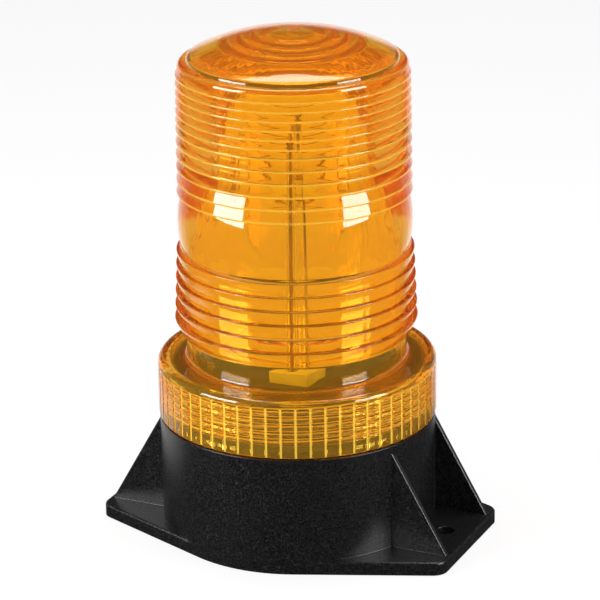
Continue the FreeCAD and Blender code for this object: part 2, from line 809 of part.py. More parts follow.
def tube_holder():
    """White block on the tray with a spigot through its window, bored for the tube and the leads."""
    block = box("holder_width", "holder_width", "holder_height", z="tray_top")
    block = softened(block, "holder_edge", lambda edge: upright(edge) or level_at("holder_top")(edge))
    spigot = box("spigot_width", "spigot_width", "spigot_length", z="spigot_foot")
    half = "tube_spacing / 2"
    bores = joined(
        rod("tube_diameter / 2 + glass_clearance", "tube_seat + overcut", y=half, z="tube_foot"),
        rod("sleeve_diameter / 2 + glass_clearance", "tube_seat + overcut", y=f"-{half}", z="tube_foot"),
        rod("wire_diameter / 2 + glass_clearance", "tube_foot", y=half),
        rod("wire_diameter / 2 + glass_clearance", "tube_foot", y=f"-{half}"),
        rod("trigger_diameter / 2 + glass_clearance", "holder_top + overcut", x="trigger_reach", y=half),
    )
    keep(cut(joined(block, spigot), bores), "tube_holder")


def tubing(diameter, wall, foot, top, y):
    outside = rod(f"{diameter} / 2", f"{top} - ({foot})", y=y, z=foot)
    inside = rod(f"{diameter} / 2 - {wall}", f"{top} - ({foot})", y=y, z=foot)
    return cut(outside, inside)


def flash_tube():
    """The glass tube, the clear sleeve beside it and the electrodes sealed into the tube's ends."""
    far = "tube_spacing / 2"
    near = "-tube_spacing / 2"
    keep(tubing("tube_diameter", "tube_wall", "tube_foot", "tube_top", far), "flash_tube")
    keep(tubing("sleeve_diameter", "sleeve_wall", "tube_foot", "sleeve_top", near), "lead_sleeve")
    bead = "tube_diameter / 2 - tube_wall - glass_clearance / 2"
    lower = joined(
        rod("electrode_diameter / 2", "electrode_length", y=far, z="tube_foot"),
        rod(bead, "electrode_bead", y=far, z="tube_foot"),
    )
    upper = joined(
        rod("electrode_diameter / 2", "electrode_length + electrode_tail", y=far,
            z="tube_top - electrode_length"),
        rod(bead, "electrode_bead", y=far, z="tube_top - electrode_bead"),
    )
    keep(lower, "cathode")
    keep(upper, "anode")


def return_lead():
    """Bare wire up the sleeve and over to the anode's tail."""
    body = body_of("return_lead")
    top = "tube_top + electrode_tail - lead_diameter / 2"
    path = sketch_on(body, "YZ_Plane", name="LeadPath")
    spots = [("-tube_spacing / 2", "tube_foot"),
             ("-tube_spacing / 2", f"{top} - link_radius"),
             ("-tube_spacing / 2 + link_radius", top),
             ("tube_spacing / 2 - electrode_diameter / 2 - solder_gap", top)]
    points = [FreeCAD.Vector(value(x), value(z), 0) for x, z in spots]
    path.addGeometry(Part.LineSegment(points[0], points[1]), False)
    path.addGeometry(arc_between(points[1], points[2], -value("link_radius")), False)
    path.addGeometry(Part.LineSegment(points[2], points[3]), False)
    path.addConstraint(Sketcher.Constraint("Coincident", 0, 2, 1, 2))
    path.addConstraint(Sketcher.Constraint("Coincident", 1, 1, 2, 1))
    for edge, end, spot in ((0, 1, 0), (0, 2, 1), (2, 1, 2), (2, 2, 3)):
        for kind, formula, number in (("DistanceX", spots[spot][0], points[spot].x),
                                      ("DistanceY", spots[spot][1], points[spot].y)):
            place = path.addConstraint(Sketcher.Constraint(kind, -1, 1, edge, end, number))
            path.setExpression(f"Constraints[{place}]", cells(formula))
    size = path.addConstraint(Sketcher.Constraint("Radius", 1, value("link_radius")))
    path.setExpression(f"Constraints[{size}]", cells("link_radius"))
    ring = sketch_on(body, "XY_Plane", "tube_foot", name="LeadSection")
    circle(ring, "0", "-tube_spacing / 2", "lead_diameter / 2")
    made = body.newObject("PartDesign::AdditivePipe", "Lead")
    made.Profile = ring
    made.Spine = (path, ["Edge1", "Edge2", "Edge3"])
    doc.recompute()


def trigger_wire():
    """A turn of fine wire round the tube, with its tail down to the holder."""
    ring = doc.addObject("Part::Torus", "Ring")
    bind(ring, Radius1="trigger_reach", Radius2="trigger_diameter / 2")
    seat(ring, y="tube_spacing / 2", z="trigger_height")
    tail = rod("trigger_diameter / 2", "trigger_height - spigot_foot", x="trigger_reach",
               y="tube_spacing / 2", z="spigot_foot")
    keep(joined(ring, tail), "trigger_wire")


# ---- circuit board and electronics -------------------------------------------------------------

def circuit_board():
    """Round board on the three floor bosses."""
    body = body_of("circuit_board")
    plan = sketch_on(body, "XY_Plane", "board_height", name="BoardPlan")
    circle(plan, "0", "0", "board_radius")
    pad(body, plan, "Board", "board_thickness")
    drill = sketch_on(body, "XY_Plane", "board_height", name="BoardDrill")
    circle(drill, "0", "boss_circle", "screw_shank / 2 + screw_clearance")
    hole = pocket(body, drill, "BoardHole", Reversed=True)
    polar(body, [hole], "BoardHoles", "boss_count")
    edge = sketch_on(body, "XY_Plane", "board_height", name="NotchPlan")
    circle(edge, "post_circle", "0", "post_diameter / 2 + board_clearance")
    notch = pocket(body, edge, "PostNotch", Reversed=True)
    polar(body, [notch], "PostNotches", "post_count")


def board_leads():
    """Insulated wires standing between the board and the tube's two leads, and the trigger's."""
    half = "tube_spacing / 2"
    keep(group(
        rod("wire_diameter / 2", "tube_foot - board_top", y=half, z="board_top"),
        rod("wire_diameter / 2", "tube_foot - board_top", y=f"-{half}", z="board_top"),
        rod("trigger_diameter / 2", "spigot_foot - board_top", x="trigger_reach", y=half, z="board_top"),
    ), "tube_leads")


def storage_capacitor():
    """Electrolytic can lying on the board, crimped at one end, its two leads bent down."""
    level = "part_seat + capacitor_diameter / 2"
    can = rod("capacitor_diameter / 2", "capacitor_length", "-capacitor_length / 2", "capacitor_y",
              level, turn="X")
    crimp = doc.addObject("Part::Torus", "Crimp")
    bind(crimp, Radius1="capacitor_diameter / 2", Radius2="crimp_depth")
    crimp.Placement.Rotation = FreeCAD.Rotation(FreeCAD.Vector(0, 1, 0), 90)
    seat(crimp, "crimp_inset - capacitor_length / 2", "capacitor_y", level)
    can = softened(can, "crimp_depth", lambda edge: edge.BoundBox.XLength < 1e-6)
    pieces = [cut(can, crimp)]
    for sign in ("+", "-"):
        spot = f"capacitor_y {sign} capacitor_pitch / 2"
        pieces += bent_lead("-capacitor_length / 2", spot, level, -1)
    keep(joined(*pieces), "storage_capacitor")


def transformer():
    """Ferrite shell core, a bobbin on its middle limb and the winding on the bobbin."""
    foot = "part_seat"
    window_foot = "part_seat + core_limb"
    pitch = "(core_limb + window_width) / 2"
    block = box("core_length", "core_depth", "core_height", "core_x", "core_y", foot)
    windows = joined(
        box("window_width", "core_depth + 2 * overcut", "window_height", f"core_x - {pitch}", "core_y",
            window_foot),
        box("window_width", "core_depth + 2 * overcut", "window_height", f"core_x + {pitch}", "core_y",
            window_foot),
    )
    keep(cut(block, windows), "transformer_core")
    clear_foot = f"{window_foot} + bobbin_clearance"
    clear_height = "window_height - 2 * bobbin_clearance"
    flange_width = "bobbin_width + 2 * coil_wall"
    flange_depth = "bobbin_depth + 2 * coil_wall"
    tube = box("bobbin_width", "bobbin_depth", clear_height, "core_x", "core_y", clear_foot)
    lower = box(flange_width, flange_depth, "bobbin_wall", "core_x", "core_y", clear_foot)
    upper = box(flange_width, flange_depth, "bobbin_wall", "core_x", "core_y",
                f"{clear_foot} + {clear_height} - bobbin_wall")
    bore = box("core_limb + 2 * bobbin_clearance", "core_depth + 2 * bobbin_clearance",
               "core_height", "core_x", "core_y", foot)
    legs = []
    for sign_x in ("+", "-"):
        for sign_y in ("+", "-"):
            legs.append(rod("pin_width / 2", f"{clear_foot} - board_top + bobbin_wall / 2",
                            f"core_x {sign_x} bobbin_width / 2",
                            f"core_y {sign_y} (core_depth / 2 + coil_wall)", "board_top"))
    keep(joined(cut(joined(tube, lower, upper), bore), *legs), "transformer_bobbin")
    wound_foot = f"{clear_foot} + bobbin_wall + bobbin_clearance"
    wound_height = f"{clear_height} - 2 * (bobbin_wall + bobbin_clearance)"
    wound = box(f"{flange_width} - 2 * bobbin_clearance", f"{flange_depth} - 2 * bobbin_clearance",
                wound_height, "core_x", "core_y", wound_foot)
    wound = softened(wound, "coil_wall / 2", upright)
    hollow = box("bobbin_width + 2 * solder_gap", "bobbin_depth + 2 * solder_gap", "core_height",
                 "core_x", "core_y", foot)
    keep(cut(wound, hollow), "transformer_winding")


def trigger_coil():
    """Upright trigger transformer: a waisted bobbin full of wire."""
    keep(joined(
        rod("coil_diameter / 2", "coil_flange", "coil_x", "coil_y", "part_seat"),
        rod("coil_diameter / 2", "coil_flange", "coil_x", "coil_y",
            "part_seat + coil_height - coil_flange"),
        rod("coil_diameter / 2 - bobbin_wall", "coil_height", "coil_x", "coil_y", "part_seat"),
    ), "trigger_coil")


def trigger_capacitor():
    """Dipped film capacitor standing on two leads."""
    block = box("film_length", "film_depth", "film_height", "film_x", "film_y",
                "part_seat + lead_rise")
    pieces = [softened(block, "film_edge", lambda edge: True)]
    for sign in ("+", "-"):
        pieces.append(rod("wire_lead / 2", "2 * lead_rise", f"film_x {sign} film_pitch / 2",
                          "film_y", "board_top"))
    keep(joined(*pieces), "trigger_capacitor")


def heat_sink():
    """Extruded plate with fins, standing behind the power transistor."""
    plate = box("sink_plate", "sink_width", "sink_height", "sink_x + sink_plate / 2", "sink_y",
                "part_seat")
    fins = []
    last = int(value("sink_fin_count")) - 1
    for index in range(last + 1):
        spot = f"sink_y + (sink_width - sink_fin) * ({index} / {last} - 0.5)"
        fins.append(box("sink_depth", "sink_fin", "sink_height", "sink_x + sink_depth / 2", spot,
                        "part_seat"))
    hole = rod("tab_hole / 2", "sink_depth", "sink_x", "sink_y", "tab_hole_height", turn="X")
    keep(cut(joined(plate, *fins), hole), "heat_sink")


def power_transistor():
    """Three-pin package whose metal tab lies flat on the heat sink."""
    face = "sink_x - solder_gap"
    block = box("package_depth", "package_width", "package_height", f"{face} - package_depth / 2",
                "sink_y", "part_seat + pin_length")
    tab = box("tab_thickness", "package_width", "package_height + tab_height",
              f"{face} - tab_thickness / 2", "sink_y", "part_seat + pin_length")
    hole = rod("tab_hole / 2", "package_depth", "sink_x - package_depth", "sink_y",
               "tab_hole_height", turn="X")
    pins = []
    for index in (-1, 0, 1):
        pins.append(box("pin_width", "pin_width", "pin_length + pin_root", f"{face} - package_depth / 2",
                        f"sink_y + {index} * pin_pitch", "board_top"))
    keep(joined(cut(joined(block, tab), hole), *pins), "power_transistor")
    head_foot = f"{face} - tab_thickness - rivet_height - solder_gap"
    head = rod("rivet_head / 2", "rivet_height", head_foot, "sink_y", "tab_hole_height", turn="X")
    shank = rod("screw_shank / 2", "rivet_height + tab_thickness + sink_plate", head_foot,
                "sink_y", "tab_hole_height", turn="X")
    keep(joined(head, shank), "transistor_screw")


def thyristor():
    """Small flat-fronted round package on three pins."""
    foot = "part_seat + lead_rise"
    barrel = rod("thyristor_width / 2", "thyristor_height", "thyristor_x", "thyristor_y", foot)
    flat = box("thyristor_width", "thyristor_width", "thyristor_height", "thyristor_x",
               "thyristor_y + thyristor_width - thyristor_depth", foot)
    package = doc.addObject("Part::Common", "Package")
    package.Base = barrel
    package.Tool = flat
    pins = []
    for index in (-1, 0, 1):
        pins.append(rod("wire_lead / 2", "2 * lead_rise",
                        f"thyristor_x + {index} * pin_pitch / 2", "thyristor_y", "board_top"))
    keep(joined(package, *pins), "thyristor")


def bent_lead(root, y, level, side):
    """A wire that leaves a part level, along +X (side 1) or -X (side -1), and bends to the board."""
    sign = "+" if side > 0 else "-"
    bend_x = f"{root} {sign} (lead_reach - lead_bend)"
    start = root if side > 0 else bend_x
    level_run = rod("wire_lead / 2", "lead_reach - lead_bend", start, y, level, turn="X")
    elbow = doc.addObject("Part::Torus", "Elbow")
    bind(elbow, Radius1="lead_bend", Radius2="wire_lead / 2")
    elbow.Angle3 = 90
    upright_turn = FreeCAD.Rotation(FreeCAD.Vector(1, 0, 0), 90)
    facing = FreeCAD.Rotation(FreeCAD.Vector(0, 0, 1), 0 if side > 0 else 180)
    elbow.Placement.Rotation = facing * upright_turn
    seat(elbow, bend_x, y, f"{level} - lead_bend")
    drop = rod("wire_lead / 2", f"{level} - lead_bend - board_top", f"{root} {sign} lead_reach", y,
               "board_top")
    return [level_run, elbow, drop]


def axial(diameter, length, x, y):
    """A two-lead part lying along X with its leads bent down into the board."""
    level = "part_seat + lead_rise"
    pieces = [rod(f"{diameter} / 2", length, f"{x} - {length} / 2", y, level, turn="X")]
    pieces += bent_lead(f"{x} + {length} / 2", y, level, 1)
    pieces += bent_lead(f"{x} - {length} / 2", y, level, -1)
    return joined(*pieces)


def diodes():
    row = []
    for index in range(int(value("diode_count"))):
        row.append(axial("diode_diameter", "diode_length", "diode_x",
                         f"diode_y + {index} * diode_pitch"))
    keep(group(*row), "diodes")


def resistors():
    keep(group(axial("resistor_diameter", "resistor_length", "resistor_x", "resistor_y"),
               axial("resistor_diameter", "resistor_length", "bleed_x", "bleed_y")), "resistors")


def fuse():
    """Glass cartridge fuse along Y: a tube, two end caps and the spring clips that hold it."""
    level = "part_seat + clip_lift + fuse_diameter / 2"
    start = "fuse_y - fuse_length / 2"
    inner = "fuse_diameter / 2 - fuse_wall"
    glass = cut(
        rod(inner, "fuse_length - 2 * fuse_wall", "fuse_x", f"{start} + fuse_wall", level, turn="Y"),
        rod(f"{inner} - fuse_wall", "fuse_length", "fuse_x", start, level, turn="Y"),
    )
    keep(glass, "fuse_tube")
    caps = []
    clips = []
    for sign, end in (("", start), ("-", f"{start} + fuse_length - fuse_cap")):
        shell = rod("fuse_diameter / 2", "fuse_cap", "fuse_x", end, level, turn="Y")
        hollow_start = f"{end} + fuse_wall" if sign == "" else end
        hollow = rod(f"{inner} + solder_gap", "fuse_cap - fuse_wall", "fuse_x", hollow_start,
                     level, turn="Y")
        caps.append(cut(shell, hollow))
        middle = f"{end} + fuse_cap / 2"
        block = box("fuse_diameter + 2 * (clip_thickness + solder_gap)", "clip_length",
                    "clip_lift + fuse_diameter", "fuse_x", middle, "part_seat")
        bed = rod("fuse_diameter / 2 + solder_gap", "clip_length + overcut", "fuse_x",
                  f"{middle} - (clip_length + overcut) / 2", level, turn="Y")
        mouth = box("clip_mouth", "clip_length + overcut", "fuse_diameter", "fuse_x", middle,
                    level)
        clips.append(cut(block, joined(bed, mouth)))
    keep(group(*caps), "fuse_caps")
    keep(group(*clips), "fuse_clips")


def terminal_block():
    """Two-way block at the board's edge: wire mouths outward, screws from above."""
    block = box("terminal_width", "terminal_depth", "terminal_height", "terminal_x", "terminal_y",
                "part_seat")
    wells = []
    heads = []
    for sign in ("+", "-"):
        x = f"terminal_x {sign} terminal_pitch / 2"
        wells.append(rod("terminal_screw / 2 + solder_gap", "terminal_well", x, "terminal_y",
                         "part_seat + terminal_height - terminal_well"))
        wells.append(box("terminal_slot", "terminal_depth / 2", "terminal_slot", x,
                         "terminal_y + terminal_depth / 2", "part_seat + terminal_sill"))
        heads.append(rod("terminal_screw / 2", "terminal_head", x, "terminal_y",
                         "part_seat + terminal_height - terminal_well"))
    keep(cut(block, joined(*wells)), "terminal_block")
    keep(group(*heads), "terminal_screws")


def cable_grommet():
    """Rubber grommet snapped into the floor's cable hole."""
    body = body_of("cable_grommet")
    waist = "inlet_radius - grommet_clearance"
    revolve(body, [
        ("grommet_bore / 2", "grommet_foot"),
        ("grommet_flange / 2", "grommet_foot"),
        ("grommet_flange / 2", "floor_under - grommet_clearance"),
        (waist, "floor_under - grommet_clearance"),
        (waist, "floor_height + grommet_clearance"),
        ("grommet_flange / 2", "floor_height + grommet_clearance"),
        ("grommet_flange / 2", "grommet_top"),
        ("grommet_bore / 2", "grommet_top"),
    ], "Grommet")


# ---- build, test and write ---------------------------------------------------------------------

def build():
    fill_sheet()
    base_housing()
    lens()
    lens_seal()
    lamp_tray()
    screws("tray_screws", "post_count", "post_circle", "tray_top", "screw_length", "0")
    tube_holder()
    flash_tube()
    return_lead()
    trigger_wire()
    circuit_board()
    screws("board_screws", "boss_count", "boss_circle", "board_top", "board_screw_length", "90")
    board_leads()
    storage_capacitor()
    transformer()
    trigger_coil()
    trigger_capacitor()
    heat_sink()
    power_transistor()
    thyristor()
    diodes()
    resistors()
    fuse()
    terminal_block()
    cable_grommet()
    doc.recompute()


def test():
    failed = [item.Label for item in doc.Objects if {"Invalid", "Error"} & set(item.State)]
    if failed:
        raise RuntimeError("not built: " + ", ".join(failed))
    for part in parts:
        shape = part.Shape
        if shape.isNull() or not shape.isValid() or shape.Volume <= 0:
            raise RuntimeError("no valid solid: " + part.Label)


def write():
    os.makedirs("parts", exist_ok=True)
    for part in parts:
        part.Shape.exportStep(f"parts/{part.Label}.step")
        print(f"{part.Label:22s} {len(part.Shape.Solids):2d} solids {part.Shape.Volume:10.1f} mm3")


build()
test()
write()
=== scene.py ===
import math

import bmesh
import bpy
from mathutils import Matrix, Vector
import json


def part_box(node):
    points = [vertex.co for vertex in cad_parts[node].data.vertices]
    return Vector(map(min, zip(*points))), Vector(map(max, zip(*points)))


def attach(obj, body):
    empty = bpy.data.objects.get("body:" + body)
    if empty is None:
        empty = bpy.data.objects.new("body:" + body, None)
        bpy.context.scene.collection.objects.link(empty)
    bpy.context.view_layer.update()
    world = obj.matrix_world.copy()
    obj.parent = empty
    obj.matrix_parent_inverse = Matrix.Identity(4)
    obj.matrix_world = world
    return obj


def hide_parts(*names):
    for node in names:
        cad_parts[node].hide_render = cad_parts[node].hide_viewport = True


# A screw-lens xenon strobe beacon on a two-bolt base.  The object's lengths are millimetres until a
# mesh is made, which scales them to the frame's metres.  The stage's lengths are metres.

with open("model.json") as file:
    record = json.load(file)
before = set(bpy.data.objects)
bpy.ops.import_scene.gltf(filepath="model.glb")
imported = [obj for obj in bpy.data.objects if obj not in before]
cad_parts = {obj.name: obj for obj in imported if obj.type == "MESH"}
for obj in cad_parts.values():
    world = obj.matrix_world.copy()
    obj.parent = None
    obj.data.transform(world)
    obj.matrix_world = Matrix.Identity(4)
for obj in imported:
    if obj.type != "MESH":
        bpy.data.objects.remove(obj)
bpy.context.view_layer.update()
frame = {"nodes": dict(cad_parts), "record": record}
nodes = frame["nodes"]
MM = 0.001
TURN = 2 * math.pi
WHITE = (1, 1, 1, 1)


def foot(node):
    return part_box(node)[0].z / MM


def reach(node):
    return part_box(node)[1].x / MM


# ---- sizes of the lens and its thread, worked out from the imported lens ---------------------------

LENS_FOOT = foot("lens")
COLLAR = reach("lens")
LEDGE = LENS_FOOT + 21.0
LEDGE_UNDER = LEDGE - 2.3
COLLAR_EDGE = 2.5
FOOT_EDGE = 0.35

# The collar's grip flutes: half width in degrees
FLUTES = 60
FLUTE_TURN = 360 / FLUTES
FLUTE_DEPTH = 0.45
FLUTE_HALF = 0.8

# The screw thread in the collar and on the base's neck; start and end are the ridge's heights
NECK = COLLAR - 4.5
PITCH = 2.75
THREAD_BORE = NECK + 0.35
THREAD_ROOT = NECK + 1.45
THREAD_CREST = NECK + 1.25
THREAD_START = 49.3
THREAD_END = 60.4
REBATE = NECK + 2.1
REBATE_TOP = LENS_FOOT + 4.3

# The lens's neck, ribs and belt, from the ledge up
LENS_NECK = COLLAR - 10.5
NECK_FILLET = 1.5
LOWER_START = LEDGE + 9.8
LOWER_COUNT = 6
LOWER_PITCH = 5.0
LOWER_CREST = LENS_NECK + 3.9
LOWER_TAPER = 1.1
LOWER_EDGE = 0.3
BELT_EDGE = LENS_NECK + 1.1
BELT_START = LOWER_START + LOWER_COUNT * LOWER_PITCH + 1.0
BELT_BOW = 1.2
UPPER_START = BELT_START + 19.75
UPPER_CREST = LENS_NECK + 2.2
UPPER_TAPER = 0.5
COARSE_COUNT = 5
COARSE_PITCH = 4.5
COARSE_EDGE = 0.55
FINE_START = UPPER_START + COARSE_COUNT * COARSE_PITCH
FINE_COUNT = 7
FINE_PITCH = 3.22
FINE_EDGE = 0.45
UPPER_COUNT = COARSE_COUNT + FINE_COUNT
UPPER_SLANTS = (16.0, 21.0, 33.0)

# The crown, its vault with three convex rings, and the bore
CROWN_FOOT = FINE_START + FINE_COUNT * FINE_PITCH + 1.8
CROWN_RADIUS = LENS_NECK - 1.9
CROWN_CORNER = 2.2
CROWN_SPHERE = 82.3
VAULT_SPHERE = CROWN_SPHERE - 3.0
VAULT_RINGS = (9.0, 14.0, 18.8, 23.4)
VAULT_RING_DEPTH = 0.75
BORE = LENS_NECK - 2.0
BORE_DRAFT = 1.2
BORE_HEAD = 169.0


# ---- node materials ----------------------------------------------------------------------------

def new_material(name):
    made = bpy.data.materials.new(name)
    made.use_nodes = True
    tree = made.node_tree
    tree.nodes.clear()
    return made, tree


def node(tree, kind, inputs=None, **settings):
    made = tree.nodes.new(kind)
    for name, setting in settings.items():
        setattr(made, name, setting)
    for name, setting in (inputs or {}).items():
        if isinstance(setting, bpy.types.NodeSocket):
            tree.links.new(setting, made.inputs[name])
        else:
            made.inputs[name].default_value = setting
    return made


def maths(tree, operation, first, *second):
    """One Math node."""
    return node(tree, "ShaderNodeMath", dict(enumerate((first, *second))), operation=operation).outputs[0]


def coordinates(tree):
    return node(tree, "ShaderNodeTexCoord").outputs["Object"]


def noise(tree, place, size, detail=3.0, roughness=0.5):
    """Noise whose features are about size millimetres across."""
    return node(tree, "ShaderNodeTexNoise", {
        "Vector": place, "Scale": 1 / (size * MM), "Detail": detail, "Roughness": roughness,
    }).outputs["Fac"]


def ramp(tree, factor, stops):
    made = node(tree, "ShaderNodeValToRGB", {"Fac": factor})
    made.color_ramp.elements[0].position = stops[0][0]
    made.color_ramp.elements[0].color = (*stops[0][1], 1)
    made.color_ramp.elements[1].position = stops[-1][0]
    made.color_ramp.elements[1].color = (*stops[-1][1], 1)
    for position, colour in stops[1:-1]:
        made.color_ramp.elements.new(position).color = (*colour, 1)
    return made.outputs["Color"]


def span(tree, factor, low, high, start=0.25, end=0.75):
    """Map a factor's usual range to low..high."""
    return node(tree, "ShaderNodeMapRange", {
        "Value": factor, "From Min": start, "From Max": end, "To Min": low, "To Max": high,
    }).outputs["Result"]


def bump(tree, height, strength, depth, normal=None):
    inputs = {"Height": height, "Strength": strength, "Distance": depth * MM}
    if normal is not None:
        inputs["Normal"] = normal
    return node(tree, "ShaderNodeBump", inputs).outputs["Normal"]


def plain(name, dark, pale, rough, grain, relief, sockets):
    """A moulded, turned or printed finish: two close colours, uneven gloss and a fine relief."""
    made, tree = new_material(name)
    place = coordinates(tree)
    fine = noise(tree, place, grain)
    broad = noise(tree, place, grain * 9, 2.0)
    both = maths(tree, "ADD", fine, broad)
    shader = node(tree, "ShaderNodeBsdfPrincipled", {
        "Base Color": ramp(tree, span(tree, both, 0.0, 1.0, 0.7, 1.3), [(0.0, dark), (1.0, pale)]),
        "Roughness": span(tree, broad, rough[0], rough[1]),
        "Normal": bump(tree, fine, 0.5, relief),
    })
    for socket, setting in sockets.items():
        shader.inputs[socket].default_value = setting
    node(tree, "ShaderNodeOutputMaterial", {"Surface": shader.outputs[0]})
    return made


def glassy(name, colour, index, rough, wave, relief, absorb=None, mark=None, clearness=1.0):
    """Clear moulding or glass.  Lamps reach what is inside it."""
    made, tree = new_material(name)
    place = coordinates(tree)
    waves = noise(tree, place, wave, 2.0)
    gloss = span(tree, noise(tree, place, wave * 0.35), rough[0], rough[1])
    shader = node(tree, "ShaderNodeBsdfPrincipled", {
        "Base Color": colour, "IOR": index, "Transmission Weight": clearness,
        "Roughness": gloss, "Normal": bump(tree, waves, 0.3, relief),
    })
    if mark is not None:
        mark(tree, place, shader, gloss)
    clear = node(tree, "ShaderNodeBsdfTransparent", {"Color": colour})
    path = node(tree, "ShaderNodeLightPath")
    mixed = node(tree, "ShaderNodeMixShader", {
        0: path.outputs["Is Shadow Ray"], 1: shader.outputs[0], 2: clear.outputs[0],
    })
    outputs = {"Surface": mixed.outputs[0]}
    if absorb is not None:
        inside = node(tree, "ShaderNodeVolumeAbsorption", {"Color": absorb[0], "Density": absorb[1]})
        outputs["Volume"] = inside.outputs[0]
    node(tree, "ShaderNodeOutputMaterial", outputs)
    return made


def product(tree, *factors):
    result = factors[0]
    for factor in factors[1:]:
        result = maths(tree, "MULTIPLY", result, factor)
    return result


def along(tree, vector, direction):
    """How far a vector node's output goes in a fixed direction."""
    return node(tree, "ShaderNodeVectorMath", {0: vector, 1: direction},
                operation="DOT_PRODUCT").outputs["Value"]


def above(tree, factor, level, blur):
    """0 below level, 1 from level + blur up, both in millimetres."""
    return span(tree, factor, 0.0, 1.0, level * MM, (level + blur) * MM)


def below(tree, factor, level, blur):
    """1 below level, 0 from level + blur up, both in millimetres."""
    return span(tree, factor, 1.0, 0.0, level * MM, (level + blur) * MM)


def near_whole(tree, turns, core, edge):
    """1 within core of a whole number, falling to 0 at edge."""
    part = maths(tree, "FRACT", turns)
    least = maths(tree, "MINIMUM", part, maths(tree, "SUBTRACT", 1.0, part))
    return span(tree, least, 1.0, 0.0, core, edge)


# How clear the lens is, and how clear the painted highlight lines on it are
CLEARNESS = 0.95
PAINTED_LINE_CLEARNESS = 0.42


def gate_spot(tree, away, height):
    """The rough spot at the crown's top, where the moulding was fed."""
    return product(tree, below(tree, away, 1.2, 2.0), above(tree, height, 180.5, 0.7), 0.5)


def flute_glint_lines(tree, away, height, share):
    """Painted highlight: a less clear line at the bottom of each flute round the collar, in place of the
    flutes' bright glints.
    """
    lines = near_whole(tree, maths(tree, "MULTIPLY", share, float(FLUTES)), 0.045, 0.095)
    return product(tree, lines, above(tree, away, COLLAR - 1.0, 0.3),
                   below(tree, height, LEDGE - 3.1, 1.0))


def thread_glint_lines(tree, away, height, share):
    """Painted highlight: less clear lines on the flanks of the thread inside the collar, two lines a
    turn.
    """
    rise = maths(tree, "MULTIPLY", height, 1 / (PITCH * MM))
    phase = maths(tree, "SUBTRACT", rise, share)
    lines = near_whole(tree, maths(tree, "MULTIPLY", phase, 2.0), 0.08, 0.18)
    wall = product(tree, below(tree, away, THREAD_ROOT + 0.35, 0.2), above(tree, away, NECK - 0.1, 0.3))
    return product(tree, lines, wall, above(tree, height, REBATE_TOP + 0.1, 0.5),
                   below(tree, height, LEDGE - 3.1, 1.0))


def crest_highlight_lines(tree, away, height):
    """Painted highlight: a paler, less clear line along the crest of each upper rib. Each zone gives its
    first crest, pitch, and the zone's foot and head.
    """
    zones = ((UPPER_START + COARSE_EDGE, COARSE_PITCH, UPPER_START - 0.15, FINE_START - 0.45),
             (FINE_START + FINE_EDGE, FINE_PITCH, FINE_START - 0.05, CROWN_FOOT - 1.99))
    lines = []
    for first, pitch, low, high in zones:
        steps = node(tree, "ShaderNodeMapRange", {
            "Value": height, "From Min": first * MM, "From Max": (first + pitch) * MM,
        }, clamp=False).outputs["Result"]
        inside = product(tree, above(tree, height, low, 0.1), below(tree, height, high, 0.1))
        lines.append(product(tree, near_whole(tree, steps, 0.25 / pitch, 0.5 / pitch), inside, 0.45))
    return product(tree, maths(tree, "MAXIMUM", *lines), above(tree, away, UPPER_CREST - 1.0, 0.3))


def gate_spot_and_painted_highlights(tree, place, shader, gloss):
    """Roughen the gate spot, and paint highlight lines on the flutes, thread and crests by making them
    less clear than the rest.
    """
    split = node(tree, "ShaderNodeSeparateXYZ", {"Vector": place})
    x, y, height = (split.outputs[axis] for axis in "XYZ")
    flat = node(tree, "ShaderNodeCombineXYZ", {"X": x, "Y": y}).outputs["Vector"]
    away = node(tree, "ShaderNodeVectorMath", {0: flat}, operation="LENGTH").outputs["Value"]
    share = maths(tree, "MULTIPLY", maths(tree, "ARCTAN2", y, x), 1 / TURN)
    rough = maths(tree, "ADD", gate_spot(tree, away, height), gloss)
    tree.links.new(rough, shader.inputs["Roughness"])
    # Painted highlight lines: the flute bottoms, the thread flanks and the rib crests.
    flute_and_thread_highlights = maths(tree, "MAXIMUM", flute_glint_lines(tree, away, height, share),
                    thread_glint_lines(tree, away, height, share))
    painted_highlights = maths(tree, "MAXIMUM", flute_and_thread_highlights, crest_highlight_lines(tree, away, height))
    tree.links.new(span(tree, painted_highlights, CLEARNESS, PAINTED_LINE_CLEARNESS, 0.0, 1.0),
                   shader.inputs["Transmission Weight"])


def housing_plastic():
    """Black glass-filled nylon with a spark-eroded grain, softened edges and a parting line."""
    made, tree = new_material("housing_plastic")
    place = coordinates(tree)
    grain = noise(tree, place, 0.42, 2.0, 0.6)
    fleck = noise(tree, place, 0.52, 1.0)
    split = node(tree, "ShaderNodeSeparateXYZ", {"Vector": place})
    seam = below(tree, maths(tree, "ABSOLUTE", split.outputs["X"]), 0.04, 0.18)
    relief = maths(tree, "ADD", grain, maths(tree, "MULTIPLY", seam, 1.2))
    rounded = node(tree, "ShaderNodeBevel", {"Radius": 0.55 * MM}, samples=6).outputs[0]
    shader = node(tree, "ShaderNodeBsdfPrincipled", {
        "Base Color": ramp(tree, fleck, [(0.35, (0.001, 0.001, 0.001)), (0.55, (0.003, 0.003, 0.003)),
                                         (0.72, (0.024, 0.024, 0.026))]),
        "Roughness": span(tree, fleck, 0.24, 0.4),
        "Normal": bump(tree, relief, 0.5, 0.08, rounded), "Specular IOR Level": 0.75,
    })
    node(tree, "ShaderNodeOutputMaterial", {"Surface": shader.outputs[0]})
    return made


